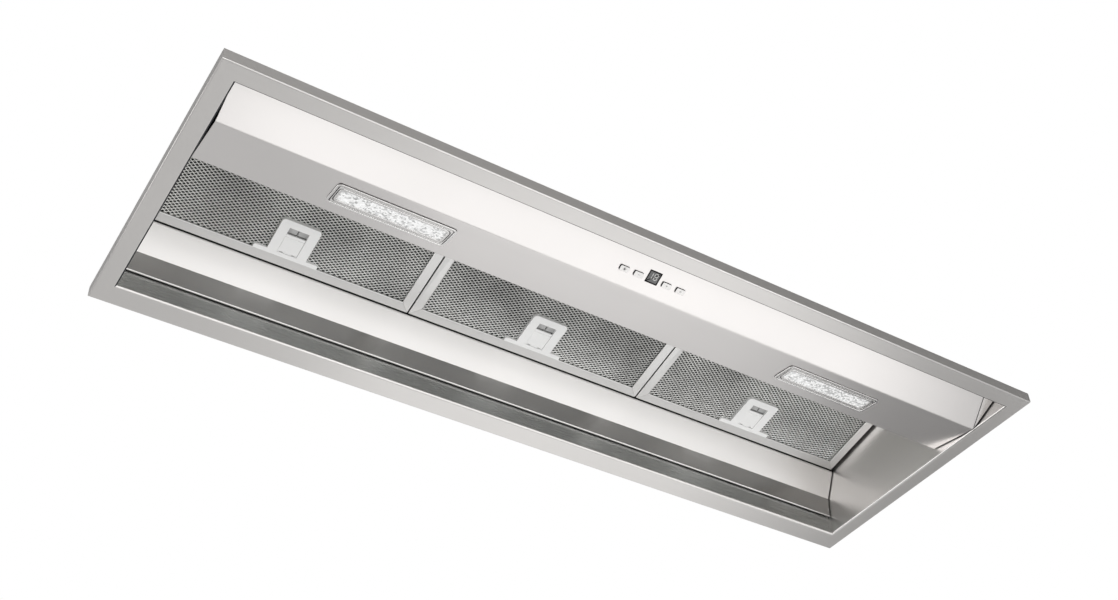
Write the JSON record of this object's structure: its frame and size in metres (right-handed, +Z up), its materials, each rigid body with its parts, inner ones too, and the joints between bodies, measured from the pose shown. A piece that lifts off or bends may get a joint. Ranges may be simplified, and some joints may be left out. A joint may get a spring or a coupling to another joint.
{
  "type": "range hood insert",
  "caption": "Built-in range hood insert: shallow steel tray with a light bar, push buttons, swing-down mesh filters on sprung latches, and a ducted blower above.",
  "frame": {"origin": "middle of the flange's lower face, in the plane of that face", "axes": "+X along the front towards the right end, +Y to the rear wall, +Z up to the duct collar"},
  "size_m": [1.2, 0.435, 0.296],
  "materials": {
    "stainless": "satin brushed stainless sheet",
    "canopy_steel": "plain mill-finish sheet",
    "bar_steel": "satin brushed stainless sheet",
    "baffle_steel": "satin brushed stainless sheet",
    "filter_rail": "plain rolled aluminium",
    "filter_mesh": "layered expanded mesh",
    "latch_plastic": "light grey moulding",
    "spring_steel": "bright plated steel",
    "bezel_steel": "fine brushed steel",
    "clear_lens": "clear moulded lens",
    "led_board": "white solder mask",
    "cast_alloy": "die-cast heat sink",
    "button_plastic": "satin silver plastic",
    "display_lens": "smoked window",
    "circuit_board": "green solder mask",
    "dark_plastic": "dark moulding",
    "white_plastic": "white moulding",
    "box_steel": "zinc plated sheet",
    "fan_plastic": "dark moulding",
    "motor_paint": "dark stoved paint"
  },
  "bodies": {
    "hood": {"flange_frame": "stainless", "side_panel_left": "stainless", "side_panel_right": "stainless", "front_panel": "canopy_steel", "rear_wall": "stainless", "canopy_top": "canopy_steel", "light_bar": "bar_steel", "bar_end_plates": "canopy_steel", "partition": "canopy_steel", "filter_ledge": "canopy_steel", "rear_baffle": "baffle_steel", "baffle_strip": "baffle_steel", "rear_filter_rest": "canopy_steel", "light_bezel_left": "bezel_steel", "light_bezel_right": "bezel_steel", "light_lens_left": "clear_lens", "light_lens_right": "clear_lens", "led_boards": "led_board", "light_housings": "cast_alloy", "display_window": "display_lens", "control_board": "circuit_board", "board_tray": "dark_plastic", "led_driver": "white_plastic", "wiring_duct": "dark_plastic", "junction_box": "box_steel", "junction_cover": "box_steel", "cable_gland": "dark_plastic", "terminal_block": "white_plastic", "blower_box": "canopy_steel", "scroll_wall": "canopy_steel", "inlet_ring": "canopy_steel", "motor": "motor_paint", "motor_bracket": "canopy_steel", "duct_collar": "canopy_steel", "damper_pins": "spring_steel", "capacitor": "white_plastic", "hanging_brackets": "canopy_steel", "screws": "spring_steel"},
    "filter_left": {"filter_frame_left": "filter_rail", "filter_mesh_left": "filter_mesh", "latch_body_left": "latch_plastic", "latch_spring_left": "spring_steel"},
    "slider_left": {"latch_slider_left": "latch_plastic"},
    "filter_middle": {"filter_frame_middle": "filter_rail", "filter_mesh_middle": "filter_mesh", "latch_body_middle": "latch_plastic", "latch_spring_middle": "spring_steel"},
    "slider_middle": {"latch_slider_middle": "latch_plastic"},
    "filter_right": {"filter_frame_right": "filter_rail", "filter_mesh_right": "filter_mesh", "latch_body_right": "latch_plastic", "latch_spring_right": "spring_steel"},
    "slider_right": {"latch_slider_right": "latch_plastic"},
    "key_1": {"button_1": "button_plastic"},
    "key_2": {"button_2": "button_plastic"},
    "key_3": {"button_3": "button_plastic"},
    "key_4": {"button_4": "button_plastic"},
    "fan": {"impeller": "fan_plastic"},
    "flap_front": {"damper_flap_front": "canopy_steel"},
    "flap_rear": {"damper_flap_rear": "canopy_steel"}
  },
  "joints": [
    {"name": "filter_left_swing", "type": "hinge", "parent": "hood", "child": "filter_left", "pos_m": [-0.381, -0.03779, 0.13829], "axis": [-1, 0, 0], "range_deg": [0, 45]},
    {"name": "latch_left_pull", "type": "slide", "parent": "filter_left", "child": "slider_left", "axis": [0, -0.9825, 0.1865], "range_m": [0, 0.006], "stiffness_N_per_m": 300, "springref_m": -0.006, "deforming": ["latch_spring_left"]},
    {"name": "filter_middle_swing", "type": "hinge", "parent": "hood", "child": "filter_middle", "pos_m": [0, -0.03779, 0.13829], "axis": [-1, 0, 0], "range_deg": [0, 45]},
    {"name": "latch_middle_pull", "type": "slide", "parent": "filter_middle", "child": "slider_middle", "axis": [0, -0.9825, 0.1865], "range_m": [0, 0.006], "stiffness_N_per_m": 300, "springref_m": -0.006, "deforming": ["latch_spring_middle"]},
    {"name": "filter_right_swing", "type": "hinge", "parent": "hood", "child": "filter_right", "pos_m": [0.381, -0.03779, 0.13829], "axis": [-1, 0, 0], "range_deg": [0, 45]},
    {"name": "latch_right_pull", "type": "slide", "parent": "filter_right", "child": "slider_right", "axis": [0, -0.9825, 0.1865], "range_m": [0, 0.006], "stiffness_N_per_m": 300, "springref_m": -0.006, "deforming": ["latch_spring_right"]},
    {"name": "button_1_press", "type": "slide", "parent": "hood", "child": "key_1", "axis": [0, 0.3987, 0.9171], "range_m": [0, 0.0008], "stiffness_N_per_m": 1500, "springref_m": -0.0005},
    {"name": "button_2_press", "type": "slide", "parent": "hood", "child": "key_2", "axis": [0, 0.3987, 0.9171], "range_m": [0, 0.0008], "stiffness_N_per_m": 1500, "springref_m": -0.0005},
    {"name": "button_3_press", "type": "slide", "parent": "hood", "child": "key_3", "axis": [0, 0.3987, 0.9171], "range_m": [0, 0.0008], "stiffness_N_per_m": 1500, "springref_m": -0.0005},
    {"name": "button_4_press", "type": "slide", "parent": "hood", "child": "key_4", "axis": [0, 0.3987, 0.9171], "range_m": [0, 0.0008], "stiffness_N_per_m": 1500, "springref_m": -0.0005},
    {"name": "fan_spin", "type": "hinge", "parent": "hood", "child": "fan", "pos_m": [-0.165, 0.0845, 0.2], "axis": [0, 0, 1], "continuous": true},
    {"name": "damper_front_lift", "type": "hinge", "parent": "hood", "child": "flap_front", "pos_m": [0, 0.0795, 0.2648], "axis": [-1, 0, 0], "range_deg": [0, 75]},
    {"name": "damper_rear_lift", "type": "hinge", "parent": "hood", "child": "flap_rear", "pos_m": [0, 0.0895, 0.2648], "axis": [1, 0, 0], "range_deg": [0, 75]}
  ]
}
